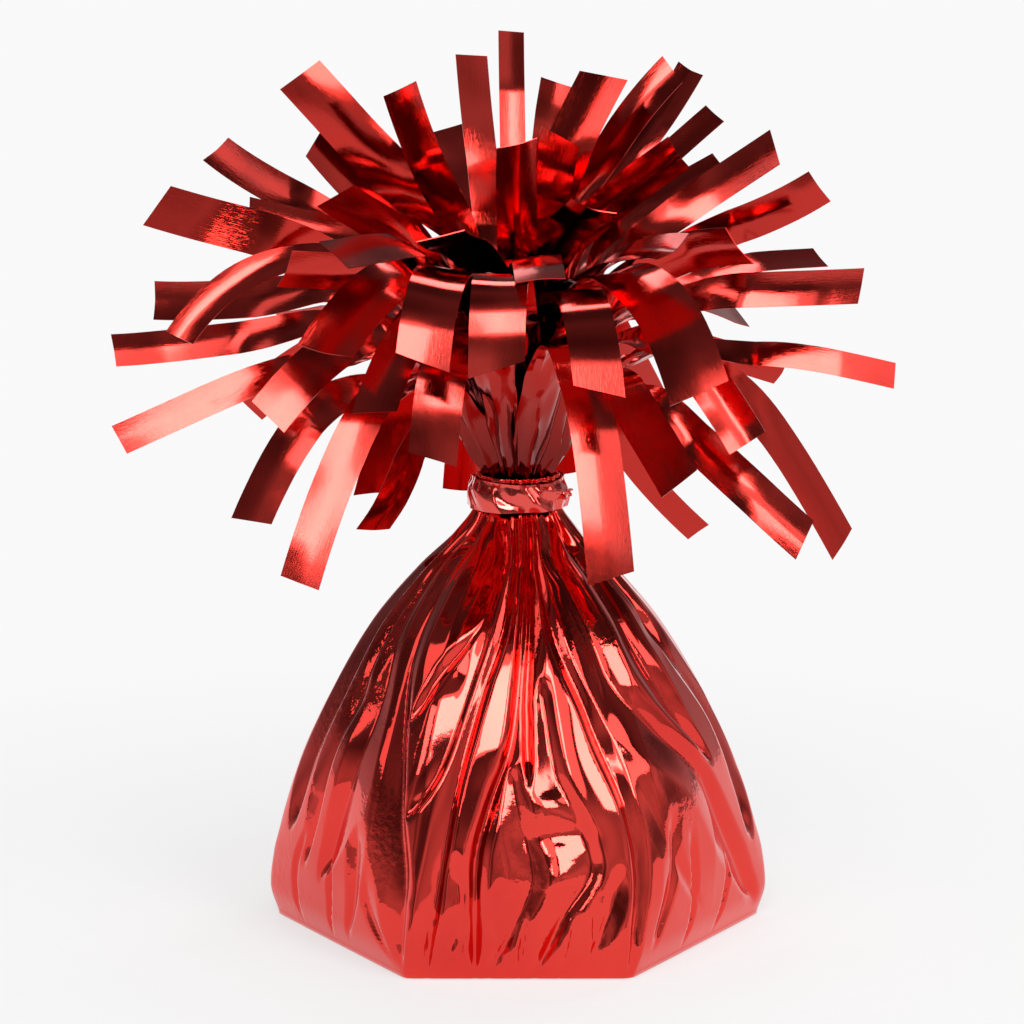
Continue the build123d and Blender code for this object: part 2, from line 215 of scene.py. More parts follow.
# Strips of each layer in order round the neck. Each row: tip x, tip y, tip
# height above the tie, pitch and roll at the tip in degrees, strip width, how
# far it rises from the neck and how far its end swings.
FRINGE = [
    [
        (-39, -10, -5, -66, -60, 5.6, 20, 32),
        (-31, -31, -10, -67, -40, 5.4, 26, 38),
        (-12, -37, 9, -74, -15, 6.4, 26, 34),
        (13, -37, -8, -76, 15, 6.2, 27, 48),
        (23, -25, 3, -46, 30, 6.2, 25, 30),
        (42, -14, -7, -38, 60, 5.8, 25, 36),
        (50, 8, -12, -60, -112, 5.2, 26, 44),
        (28, 24, -13, -38, -70, 3.6, 22, 32),
        (8, 44, -8, -62, 0, 6.0, 26, 38),
        (-9, 44, -10, -66, 0, 6.0, 26, 38),
        (-23, 32, -8, -66, 20, 6.0, 23, 34),
        (-22, 9, -10, -58, 35, 5.2, 18, 24),
    ],
    [
        (-59, -4, 6, -24, -70, 4.4, 32, 30),
        (-36, -20, 12, -46, -55, 6.0, 28, 30),
        (-20, -40, 16, -55, -20, 5.6, 29, 28),
        (-3, -46, 23, -78, 0, 7.2, 30, 26),
        (25, -41, 19, -62, 25, 8.2, 30, 30),
        (33, -19, 8, -56, 55, 5.8, 25, 30),
        (56, 0, 15, -14, 70, 3.6, 27, 28),
        (41, 24, 12, -16, -70, 4.2, 28, 26),
        (21, 42, 5, -45, -20, 6.0, 29, 30),
        (1, 52, 2, -45, 0, 6.2, 29, 30),
        (-21, 42, 3, -50, 20, 6.0, 29, 30),
        (-42, 24, 7, -38, 65, 6.0, 27, 28),
    ],
    [
        (-49, -15, 23, -56, -60, 4.2, 32, 26),
        (-27, -34, 24, -40, -35, 7.2, 32, 24),
        (-13, -47, 24, -70, -10, 7.0, 33, 26),
        (11, -47, 20, -64, 8, 6.4, 32, 28),
        (31, -29, 38, 10, -60, 6.0, 28, 24),
        (50, -11, 30, 4, 80, 4.8, 31, 28),
        (46, 15, 31, 6, 30, 4.4, 31, 26),
        (35, 36, 19, -10, 30, 6.0, 32, 26),
        (13, 54, 15, -18, 15, 6.0, 32, 26),
        (-14, 54, 15, -18, -15, 6.0, 32, 26),
        (-37, 38, 17, -15, 40, 6.0, 32, 26),
        (-61, 7, 18, -4, -75, 4.6, 33, 28),
    ],
    [
        (-53, -4, 41, 17, 101, 6.2, 33, 26),
        (-33, -24, 34, 4, 60, 6.0, 34, 24),
        (-25, -41, 39, 0, -30, 6.0, 35, 22),
        (3, -46, 35, -24, 8, 6.4, 36, 22),
        (22, -40, 38, 2, 30, 6.0, 38, 22),
        (43, -17, 45, 32, -80, 5.0, 37, 24),
        (38, 2, 49, 33, 75, 4.8, 33, 25),
        (31, 20, 45, 24, 50, 3.8, 33, 24),
        (21, 44, 34, 12, 25, 6.0, 34, 24),
        (-1, 54, 34, 12, 0, 6.0, 34, 24),
        (-48, 43, 45, 26, -65, 5.0, 33, 26),
        (-56, 19, 24, 0, -75, 5.6, 34, 28),
    ],
    [
        (-30, 3, 50, 50, -70, 5.0, 32, 22),
        (-26, -20, 44, 36, 45, 6.0, 36, 22),
        (-11, -36, 41, 20, 20, 6.2, 38, 22),
        (10, -34, 43, 24, -28, 6.0, 38, 22),
        (23, -16, 50, 34, -65, 5.2, 33, 22),
        (23, 4, 60, 46, 60, 4.8, 32, 24),
        (30, 22, 52, 30, 45, 3.6, 34, 24),
        (27, 42, 57, 40, 35, 4.2, 34, 24),
        (-11, 34, 49, 46, -15, 6.0, 34, 22),
        (-41, 22, 37, 8, -70, 4.4, 35, 24),
    ],
    [
        (-32, -3, 60, 48, 104, 6.8, 32, 24),
        (-17, -15, 59, 68, 60, 4.8, 28, 22),
        (0, -17, 51, 68, 15, 5.6, 28, 20),
        (6, -14, 52, 66, -30, 5.6, 28, 20),
        (12, -2, 60, 64, -112, 7.2, 28, 22),
        (6, 8, 58, 70, 20, 5.0, 28, 22),
        (-1, 18, 65, 84, -5, 3.6, 28, 22),
        (-7, 10, 62, 80, -25, 4.4, 28, 22),
    ],
]
ROLL_FROM = 0.3
ROLL_OVER = 0.55
STRIP_SPREAD = 1.08       # film is a little wider than the solids' strips
STRIP_ROWS = 42
STRIP_COLUMNS = 9
FILM_PITCH = 20.0         # strips lie this far apart on the map of the flat film
# Form of a strip, in shares of its length unless another unit is named.
WAVE_TURNS = 9.0          # radians of wave from root to end
WAVE_PHASE = 6.28
WAVE_OVER = 0.4
KINK_FROM = 0.45
KINK_SPAN = 0.35
KINK_REACH = 0.16
ROOT_UNFOLDS = 0.5
ROOT_FULLNESS = 1.7       # width of film gathered into a root's slot
CUP_POWER = 1.4
CRUSH_RISE = 0.08
CRUSH_FROM = 0.15
CRUSH_OVER = 0.5
SLANT_FROM = 0.7
SLANT_OVER = 0.3

# Film finish: sizes of the noise in its lacquer, haze, patches and dents, the
# grain along a strip, and where the painted shade at a strip's root ends, in millimetres.
LACQUER_SCALE = 40.0
HAZE_SCALE = 160.0
PATCH_SCALE = 70.0
DENT_SCALE = 900.0
GRAIN_STRETCH = (7.0, 0.5, 1.0)
GRAIN_HEIGHT = 0.012 * MM
ROOT_PAINTED_SHADE = (4.0, 26.0)

# Stage, in metres. Each light: name, place, width, height, glow.
FLOOR_R = 6.0
FLOOR_FADE = (-0.23, 0.22)
LIGHT_TARGET = (0.0, 0.0, 0.06)
LIGHTS = [
    ("front_panel", (-0.05, -0.98, 0.82), 0.95, 0.60, 1.7),
    ("front_box", (-0.10, -0.90, 0.74), 0.34, 0.44, 9.5),
    ("key_box", (-0.66, -0.74, 0.64), 0.30, 0.44, 3.6),
    ("left_panel", (-0.95, -0.10, 0.66), 0.24, 0.50, 1.1),
    ("side_panel", (0.95, -0.30, 0.62), 0.40, 0.45, 2.2),
    ("side_box", (0.64, -0.74, 0.66), 0.44, 0.46, 9.5),
    ("back_panel", (-0.38, 0.95, 0.66), 0.50, 0.45, 1.4),
    ("rim_box", (0.62, 0.74, 0.80), 0.28, 0.36, 7.0),
    ("top_box", (0.0, 0.45, 1.15), 0.36, 0.26, 7.0),
]
CAMERA_PLACE = (-0.0009, -0.560, 0.169)
CAMERA_TARGET = (-0.0009, 0.0, 0.0626)
CAMERA_LENS = 133.6


class WrapperSettings(bpy.types.PropertyGroup):
    film_tone: FloatVectorProperty(
        name="Film tone",
        description="Colour that the metallised wrapper film reflects",
        subtype="COLOR",
        min=0.0,
        max=1.0,
        default=(0.80, 0.047, 0.034),
    )
    film_shade: FloatVectorProperty(
        name="Film shade",
        description="Deeper colour in the film's uneven lacquer",
        subtype="COLOR",
        min=0.0,
        max=1.0,
        default=(0.72, 0.033, 0.025),
    )
    fold_gain: FloatProperty(
        name="Fold gain",
        description="How deep the folds are against their listed depths",
        default=1.0,
        min=0.2,
        max=1.4,
    )
    crease: FloatProperty(
        name="Crease height",
        description="Height of the sharp creases that run up the skirt",
        default=0.5 * MM,
        unit="LENGTH",
        subtype="DISTANCE",
    )
    swell: FloatProperty(
        name="Swell",
        description="How unevenly the film between the folds bulges",
        default=0.5 * MM,
        unit="LENGTH",
        subtype="DISTANCE",
    )
    lean: FloatProperty(
        name="Lean",
        description="How far the film lies over to one side",
        default=1.8 * MM,
        unit="LENGTH",
        subtype="DISTANCE",
    )


class TieSettings(bpy.types.PropertyGroup):
    ribbon_tone: FloatVectorProperty(
        name="Ribbon tone",
        description="Colour that the tie's film ribbon reflects",
        subtype="COLOR",
        min=0.0,
        max=1.0,
        default=(0.80, 0.085, 0.070),
    )
    ribbon_thickness: FloatProperty(
        name="Ribbon thickness",
        description="Thickness of the flat ribbon",
        default=0.2 * MM,
        unit="LENGTH",
        subtype="DISTANCE",
    )
    wrinkle: FloatProperty(
        name="Wrinkle",
        description="Height of the wrinkles pulled into the ribbon",
        default=0.4 * MM,
        unit="LENGTH",
        subtype="DISTANCE",
    )


class FringeSettings(bpy.types.PropertyGroup):
    # Both tones are darker than the wrapper's film: partly a darker film, partly painted shade standing
    # in for the dim surroundings and shadow among the strips.
    front_tone: FloatVectorProperty(
        name="Front tone",
        description="Colour that the lacquered side of a strip reflects",
        subtype="COLOR",
        min=0.0,
        max=1.0,
        default=(0.54, 0.023, 0.015),
    )
    reverse_tone: FloatVectorProperty(
        name="Reverse tone",
        description="Colour that the other side of a strip reflects",
        subtype="COLOR",
        min=0.0,
        max=1.0,
        default=(0.56, 0.032, 0.023),
    )
    thickness: FloatProperty(
        name="Film thickness",
        description="Thickness of a cut strip",
        default=0.12 * MM,
        unit="LENGTH",
        subtype="DISTANCE",
    )
    root_fold: FloatProperty(
        name="Root fold",
        description="How far a strip is folded lengthwise where it leaves the tie",
        default=math.radians(50.0),
        unit="ROTATION",
        subtype="ANGLE",
    )
    cup: FloatProperty(
        name="Cup",
        description="Lengthwise hollow left along the free part of a strip",
        default=math.radians(9.0),
        unit="ROTATION",
        subtype="ANGLE",
    )
    slant: FloatProperty(
        name="End slant",
        description="Most that an end cut is off square",
        default=math.radians(20.0),
        unit="ROTATION",
        subtype="ANGLE",
    )
    wave: FloatProperty(
        name="Wave",
        description="Height of the slight waves along a strip",
        default=0.9 * MM,
        unit="LENGTH",
        subtype="DISTANCE",
    )
    kink: FloatProperty(
        name="Kink",
        description="Height of the bend pressed into a strip",
        default=2.0 * MM,
        min=0.0,
        unit="LENGTH",
        subtype="DISTANCE",
    )
    crush: FloatProperty(
        name="Crush",
        description="Depth of the dents near a strip's root",
        default=1.4 * MM,
        min=0.0,
        unit="LENGTH",
        subtype="DISTANCE",
    )


class StageSettings(bpy.types.PropertyGroup):
    floor_tone: FloatVectorProperty(
        name="Floor tone",
        description="Colour of the pale floor",
        subtype="COLOR",
        min=0.0,
        max=1.0,
        default=(0.85, 0.85, 0.85),
    )
    surround: FloatProperty(
        name="Surround",
        description="Brightness of the dim room above the floor",
        default=0.18,
        min=0.0,
        max=1.0,
    )


def smooth(share):
    share = np.clip(share, 0.0, 1.0)
    return share * share * (3.0 - 2.0 * share)


def curve_through(stops, values, at):
    """Smooth curve through the values at the stops, without overshoot."""
    stops = np.asarray(stops, float)
    values = np.asarray(values, float)
    gaps = np.diff(stops)
    rises = np.diff(values) / gaps
    slopes = np.zeros(len(stops))
    same = rises[:-1] * rises[1:] > 0
    low = rises[:-1][same]
    high = rises[1:][same]
    slopes[1:-1][same] = 2 * low * high / (low + high)
    slopes[0] = rises[0]
    slopes[-1] = rises[-1]
    i = np.clip(np.searchsorted(stops, at) - 1, 0, len(gaps) - 1)
    h = gaps[i]
    t = np.clip((at - stops[i]) / h, 0.0, 1.0)
    s = 1.0 - t
    start = (1 + 2 * t) * s * s * values[i] + t * s * s * h * slopes[i]
    end = t * t * (3 - 2 * t) * values[i + 1] - t * t * s * h * slopes[i + 1]
    return start + end


def wrap_degrees(angle):
    return (angle + 180.0) % 360.0 - 180.0


def scatter(index, salt):
    """A steady value from 0 to 1 for one strip."""
    value = math.sin(index * 12.9898 + salt * 78.233) * 43758.5453
    return value - math.floor(value)


def noise_field(x, y, z):
    flat = [noise.noise(p) for p in zip(x.ravel(), y.ravel(), z.ravel())]
    return np.array(flat).reshape(x.shape)


def grid_faces(rows, columns, closed, first=0):
    faces = []
    for i in range(rows - 1):
        for j in range(columns if closed else columns - 1):
            k = (j + 1) % columns
            low = first + i * columns
            high = low + columns
            faces.append((low + j, low + k, high + k, high + j))
    return faces


def new_piece(name, points, faces, film=None):
    """Mesh object at the origin from points in millimetres, the only one selected.
    film gives each point's place on the flat film, in millimetres."""
    mesh = bpy.data.meshes.new(name)
    mesh.from_pydata([tuple(p) for p in np.asarray(points) * MM], [], faces)
    mesh.update()
    if film is not None:
        corners = np.empty(len(mesh.loops), dtype=np.int32)
        mesh.loops.foreach_get("vertex_index", corners)
        flat = mesh.uv_layers.new(name="flat_film")
        flat.data.foreach_set("uv", np.asarray(film, float)[corners].ravel())
    piece = bpy.data.objects.new(name, mesh)
    bpy.context.scene.collection.objects.link(piece)
    bpy.ops.object.select_all(action="DESELECT")
    piece.select_set(True)
    bpy.context.view_layer.objects.active = piece
    return piece


def thicken(piece, thickness, reverse_slot=0):
    """Gives a film its thickness, with the reverse side on its own material slot."""
    solid = piece.modifiers.new("Film", "SOLIDIFY")
    solid.thickness = thickness
    solid.offset = 0.0
    solid.use_even_offset = False
    solid.material_offset = reverse_slot
    bpy.ops.object.modifier_apply(modifier=solid.name)


def set_slots(piece, *materials):
    piece.data.materials.clear()
    for material in materials:
        piece.data.materials.append(material)


def node_material(name):
    material = bpy.data.materials.new(name)
    material.use_nodes = True
    nodes = material.node_tree.nodes
    return material, nodes, material.node_tree.links, nodes["Principled BSDF"]


def noise_node(nodes, links, coords, scale, detail, stretch=(1.0, 1.0, 1.0)):
    """Noise texture on the given coordinates, its output from 0 to 1."""
    place = nodes.new("ShaderNodeMapping")
    place.inputs["Scale"].default_value = stretch
    texture = nodes.new("ShaderNodeTexNoise")
    texture.inputs["Scale"].default_value = scale
    texture.inputs["Detail"].default_value = detail
    links.new(coords, place.inputs["Vector"])
    links.new(place.outputs["Vector"], texture.inputs["Vector"])
    return texture.outputs["Fac"]


def ramp_node(nodes, links, value, low, high, start=0.35, end=0.65):
    ramp = nodes.new("ShaderNodeValToRGB")
    ramp.color_ramp.elements[0].position = start
    ramp.color_ramp.elements[1].position = end
    ramp.color_ramp.elements[0].color = (*low, 1.0)
    ramp.color_ramp.elements[1].color = (*high, 1.0)
    links.new(value, ramp.inputs["Fac"])
    return ramp.outputs["Color"]


def range_node(nodes, links, value, low, high, start=0.3, end=0.7):
    span = nodes.new("ShaderNodeMapRange")
    span.inputs["From Min"].default_value = start
    span.inputs["From Max"].default_value = end
    span.inputs["To Min"].default_value = low
    span.inputs["To Max"].default_value = high
    links.new(value, span.inputs["Value"])
    return span.outputs["Result"]


def multiply_node(nodes, links, one, other):
    product = nodes.new("ShaderNodeMath")
    product.operation = "MULTIPLY"
    links.new(one, product.inputs[0])
    links.new(other, product.inputs[1])
    return product.outputs["Value"]


def bump_node(nodes, links, height, distance, strength, before=None):
    bump = nodes.new("ShaderNodeBump")
    bump.inputs["Distance"].default_value = distance
    bump.inputs["Strength"].default_value = strength
    links.new(height, bump.inputs["Height"])
    if before is not None:
        links.new(before, bump.inputs["Normal"])
    return bump.outputs["Normal"]


def film_material(name, tone, shade, smoothest, roughest, crumple, root_shade_share=None):
    """Lacquered metallised film: uneven lacquer, fine haze, patches of crumple.
    A strip's film also has a fine grain along its length, and a painted shade
    where it leaves the neck, which takes its colour down to the share given."""
    material, nodes, links, shader = node_material(name)
    places = nodes.new("ShaderNodeTexCoord")
    coords = places.outputs["Object"]
    lacquer = noise_node(nodes, links, coords, LACQUER_SCALE, 2.0)
    colour = ramp_node(nodes, links, lacquer, shade, tone, 0.3, 0.6)
    haze = noise_node(nodes, links, coords, HAZE_SCALE, 3.0)
    links.new(range_node(nodes, links, haze, smoothest, roughest), shader.inputs["Roughness"])
    worked = noise_node(nodes, links, coords, PATCH_SCALE, 2.0)
    patches = range_node(nodes, links, worked, 0.0, 1.0, 0.5, 0.7)
    dents = noise_node(nodes, links, coords, DENT_SCALE, 2.0)
    surface = bump_node(nodes, links, multiply_node(nodes, links, dents, patches), crumple, 1.0)
    # Painted shade: a strip's colour is darkened over its first millimetres from the neck, standing in
    # for the shadow the other strips cast there.
    if root_shade_share is not None:
        run = nodes.new("ShaderNodeSeparateXYZ")
        links.new(places.outputs["UV"], run.inputs["Vector"])
        painted_root_shade = range_node(nodes, links, run.outputs["Y"], root_shade_share, 1.0, *ROOT_PAINTED_SHADE)
        root_shaded = nodes.new("ShaderNodeVectorMath")
        root_shaded.operation = "SCALE"
        links.new(colour, root_shaded.inputs[0])
        links.new(painted_root_shade, root_shaded.inputs["Scale"])
        colour = root_shaded.outputs["Vector"]
        grain = noise_node(nodes, links, places.outputs["UV"], 1.0, 2.0, GRAIN_STRETCH)
        surface = bump_node(nodes, links, grain, GRAIN_HEIGHT, 1.0, surface)
    links.new(colour, shader.inputs["Base Color"])
    links.new(surface, shader.inputs["Normal"])
    shader.inputs["Metallic"].default_value = 1.0
    shader.inputs["Coat Weight"].default_value = 0.3
    shader.inputs["Coat IOR"].default_value = 1.5
    shader.inputs["Coat Roughness"].default_value = 0.08
    return material


def card_material():
    """Grey-brown board with short fibres."""
    material, nodes, links, shader = node_material("card_board")
    coords = nodes.new("ShaderNodeTexCoord").outputs["Object"]
    fibres = noise_node(nodes, links, coords, 700.0, 6.0, (1.0, 0.25, 1.0))
    tone = ramp_node(nodes, links, fibres, (0.42, 0.35, 0.26), (0.62, 0.54, 0.43))
    links.new(tone, shader.inputs["Base Color"])
    links.new(bump_node(nodes, links, fibres, 0.00008, 0.6), shader.inputs["Normal"])
    shader.inputs["Roughness"].default_value = 0.85
    return material


def moulding_material():
    """Off-white moulded plastic with a faint flow pattern."""
    material, nodes, links, shader = node_material("moulded_core")
    coords = nodes.new("ShaderNodeTexCoord").outputs["Object"]
    flow = noise_node(nodes, links, coords, 45.0, 3.0, (1.0, 1.0, 3.0))
    tone = ramp_node(nodes, links, flow, (0.66, 0.65, 0.62), (0.78, 0.77, 0.74))
    links.new(tone, shader.inputs["Base Color"])
    links.new(range_node(nodes, links, flow, 0.38, 0.55), shader.inputs["Roughness"])
    texture = noise_node(nodes, links, coords, 1800.0, 2.0)
    links.new(bump_node(nodes, links, texture, 0.00003, 0.5), shader.inputs["Normal"])
    return material


def mortar_material():
    """Cast mortar with sand specks and small pits."""
    material, nodes, links, shader = node_material("cast_mortar")
    coords = nodes.new("ShaderNodeTexCoord").outputs["Object"]
    sand = noise_node(nodes, links, coords, 1200.0, 5.0)
    tone = ramp_node(nodes, links, sand, (0.40, 0.39, 0.37), (0.66, 0.64, 0.61))
    links.new(tone, shader.inputs["Base Color"])
    links.new(bump_node(nodes, links, sand, 0.0002, 0.7), shader.inputs["Normal"])
    shader.inputs["Roughness"].default_value = 0.9
    return material


def wire_material():
    """Soft annealed wire with drawing marks."""
    material, nodes, links, shader = node_material("annealed_wire")
    coords = nodes.new("ShaderNodeTexCoord").outputs["Object"]
    marks = noise_node(nodes, links, coords, 2500.0, 2.0, (0.2, 0.2, 1.0))
    tone = ramp_node(nodes, links, marks, (0.45, 0.45, 0.46), (0.66, 0.66, 0.67))
    links.new(tone, shader.inputs["Base Color"])
    links.new(range_node(nodes, links, marks, 0.28, 0.45), shader.inputs["Roughness"])
    shader.inputs["Metallic"].default_value = 1.0
    return material


def hexagon_share(degrees):
    """Radius of the foot's hexagon with softened corners, corner radius 1."""
    side = np.clip(np.searchsorted(FOOT_CORNERS, degrees, side="right") - 1, 0, SIDES - 1)
    low = np.take(FOOT_CORNERS, side)
    high = np.take(FOOT_CORNERS, side + 1)
    half = 0.5 * (high - low)
    to_corner = half - np.abs(degrees - 0.5 * (low + high))
    eased = np.minimum(np.sqrt(to_corner ** 2 + CORNER_SOFT ** 2), half)
    return np.cos(np.radians(half)) / np.cos(np.radians(half - eased))


def fold_depth(fold, radius, degrees, heights):
    """Depth of one fold at each point of the skirt."""
    left, right, depth, path = fold
    turns = [turn for turn, height in path]
    levels = [height for turn, height in path]
    run = np.radians(wrap_degrees(degrees - curve_through(levels, turns, heights))) * radius
    slim = np.minimum(radius / FOLD_FULL_R, 1.0)
    opening = np.clip((heights - levels[0]) / FOLD_OPENS, 0.0, 1.0)
    opened = FOLD_NARROW + (1.0 - FOLD_NARROW) * opening
    half = np.where(run < 0.0, left, right) * slim * opened
    share = np.maximum(1.0 - np.abs(run) / half, 0.0)
    ends = smooth((heights - levels[0]) / FOLD_FADE_IN) * smooth((levels[-1] - heights) / FOLD_FADE_OUT)
    return depth * slim ** FOLD_SLIM_POWER * ends * share ** FOLD_SHARPNESS


def skirt_points(settings):
    """Points of the gathered skirt, rows from the foot's edge to the lip."""
    stops = [row[0] for row in SKIRT]
    steps = int(round(LIP_TOP / SKIRT_STEP))
    heights = np.linspace(SKIRT_START, LIP_TOP, steps)[:, None]
    degrees = np.linspace(-180.0, 180.0, SKIRT_COLUMNS, endpoint=False)[None, :]
    corner = curve_through(stops, [row[1] for row in SKIRT], heights)
    hexed = curve_through(stops, [row[2] for row in SKIRT], heights)
    reach = corner * (hexed * hexagon_share(degrees) + 1.0 - hexed)
    turned = np.radians(degrees)
    around_x = np.cos(turned) + 0.0 * heights
    around_y = np.sin(turned) + 0.0 * heights
    up = heights + 0.0 * degrees
    begun = smooth((heights - UNEVEN_FROM) / UNEVEN_OVER)
    worked = begun * (1.0 - smooth((heights - EVEN_FROM) / EVEN_OVER))
    creases = noise_field(CREASE_TURNS * around_x, CREASE_TURNS * around_y, up / CREASE_RUN)
    creases = (CREASE_REACH - np.abs(creases)) * settings.crease / MM * CREASE_GAIN
    swells = noise_field(SWELL_TURNS * around_x + SWELL_SHIFT, SWELL_TURNS * around_y, up / SWELL_RUN)
    swells = swells * settings.swell / MM
    lean = noise_field(LEAN_TURNS * around_x, LEAN_TURNS * around_y + LEAN_SHIFT, up / LEAN_RUN)
    lean = lean * LEAN_GAIN * settings.lean / MM
    reach = reach + worked * (creases + swells)
    for turn, height, wide, tall, depth in BUCKLES:
        away = wrap_degrees(degrees - turn) / wide
        above = (heights - height) / tall
        reach = reach - depth * np.exp(-away ** 2 - above ** 2)
    folds = np.zeros_like(reach)
    for fold in FOLDS:
        for turn in (0.0, BACK_TURN):
            folds = np.maximum(folds, fold_depth(fold, corner, degrees - turn, heights))
    reach = reach - settings.fold_gain * folds
    turned = turned + worked * lean / reach
    return np.stack((reach * np.cos(turned), reach * np.sin(turned), up), axis=-1)


def drawn_in(row, share, height):
    """The row of points at a share of its radius and at that height."""
    ring = row * (share, share, 0.0)
    ring[:, 2] = height
    return ring


def make_wrapper(settings):
    skirt = skirt_points(settings)
    hem = [drawn_in(skirt[0], share, height) for share, height in HEM_ROWS]
    patch = [drawn_in(skirt[0], share, PATCH_HEIGHT) for share in PATCH_SHARES]
    lip = [drawn_in(skirt[-1], share, height) for share, height in LIP_ROWS]
    rows = np.concatenate((np.array(hem), skirt, np.array(lip)))
    faces = grid_faces(len(rows), SKIRT_COLUMNS, True)
    first = rows.shape[0] * SKIRT_COLUMNS
    faces += grid_faces(len(patch), SKIRT_COLUMNS, True, first)
    middle = [(0.0, 0.0, PATCH_HEIGHT)]
    points = np.concatenate((rows.reshape(-1, 3), np.array(patch).reshape(-1, 3), middle))
    centre = len(points) - 1
    for j in range(SKIRT_COLUMNS):
        faces.append((centre, first + (j + 1) % SKIRT_COLUMNS, first + j))
    piece = new_piece("gathered_wrapper", points, faces)
    bpy.ops.object.shade_smooth()
    film = film_material("wrapper_foil", settings.film_tone, settings.film_shade, 0.03, 0.08, 0.08 * MM)
    set_slots(piece, film)
    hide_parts("foil_wrapper")
    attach(piece, "root")
    return piece


def ribbon_grid(turns, radii, low, high, settings, columns):
    """Flat ribbon wound round the neck, from one angle to another."""
    degrees = np.linspace(turns[0], turns[1], columns)[None, :]
    across = np.linspace(0.0, 1.0, RIBBON_ROWS)[:, None]
    reach = np.linspace(radii[0], radii[1], columns)[None, :] + 0.0 * across
    turned = np.radians(degrees)
    wrinkles = noise_field(
        2.0 * np.cos(turned) + 0.9 * across,
        2.0 * np.sin(turned) + 0.9 * across,
        1.1 * across + 0.0 * degrees,
    )
    pulled = noise_field(
        2.6 * np.cos(turned) + 0.8 * across,
        2.6 * np.sin(turned) - 0.8 * across,
        0.5 * across + 0.0 * degrees,
    )
    wrinkle = settings.wrinkle / MM
    raised = wrinkle * (0.4 + 1.4 * wrinkles + 1.6 * (0.3 - np.abs(pulled)))
    beside_wire = smooth((np.abs(across - 0.5) - WIRE_HALF) / WIRE_EASE)
    reach = reach + np.maximum(raised, -RIBBON_SINK - RIBBON_SLACK * beside_wire)
    reach = reach - RIBBON_TUCK * smooth((across - TUCK_FROM) / TUCK_OVER)
    height = low + (high - low) * across + 0.0 * degrees
    edge = RIBBON_SWAY * np.sin(2.0 * turned + 0.6) * (across - 0.3)
    return np.stack((reach * np.cos(turned), reach * np.sin(turned), height + edge), axis=-1)


def twisted_tail(reach, level):
    """The tie's two ends twisted together and pressed back along the ribbon."""
    share = np.linspace(0.0, 1.0, TAIL_ROWS)
    turned = np.radians(TAIL_FROM + (TAIL_TO - TAIL_FROM) * share)
    twist = np.radians(TAIL_TWIST * share)
    wide = TAIL_HALF * (1.0 - TAIL_TAPER * share) * smooth(share / TAIL_PINCH + 0.5)
    middle = reach + TAIL_LIFT * TAIL_HALF * smooth(share / TAIL_LIFT_OVER)
    grid = []
    for side in np.linspace(-1.0, 1.0, TAIL_COLUMNS):
        out = middle + side * wide * np.sin(twist)
        height = level + TAIL_CLIMB * share + side * wide * np.cos(twist)
        grid.append(np.stack((out * np.cos(turned), out * np.sin(turned), height), axis=-1))
    return np.array(grid)


def make_tie(settings):
    level = TIE_LOW + TAIL_LEVEL * (TIE_TOP - TIE_LOW)
    low = TIE_LOW + RIBBON_INSET
    high = TIE_TOP - RIBBON_INSET
    wound = ribbon_grid(WIND_TURNS, WIND_RADII, low, high, settings, RIBBON_COLUMNS)
    tail = twisted_tail(TAIL_R, level)
    points = []
    faces = []
    for grid in (wound, tail):
        rows, columns = grid.shape[:2]
        faces += grid_faces(rows, columns, False, len(points))
        points += list(grid.reshape(-1, 3))
    piece = new_piece("ribbon_tie", points, faces)
    thicken(piece, settings.ribbon_thickness)
    bpy.ops.object.shade_smooth_by_angle(angle=math.radians(50.0))
    shade = tuple(0.8 * part for part in settings.ribbon_tone)
    film = film_material("tie_foil", settings.ribbon_tone, shade, 0.05, 0.1, 0.03 * MM)
    set_slots(piece, film)
    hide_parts("tie_band")
    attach(piece, "root")
    return piece


def unit(vectors):
    return vectors / np.linalg.norm(vectors, axis=-1, keepdims=True)


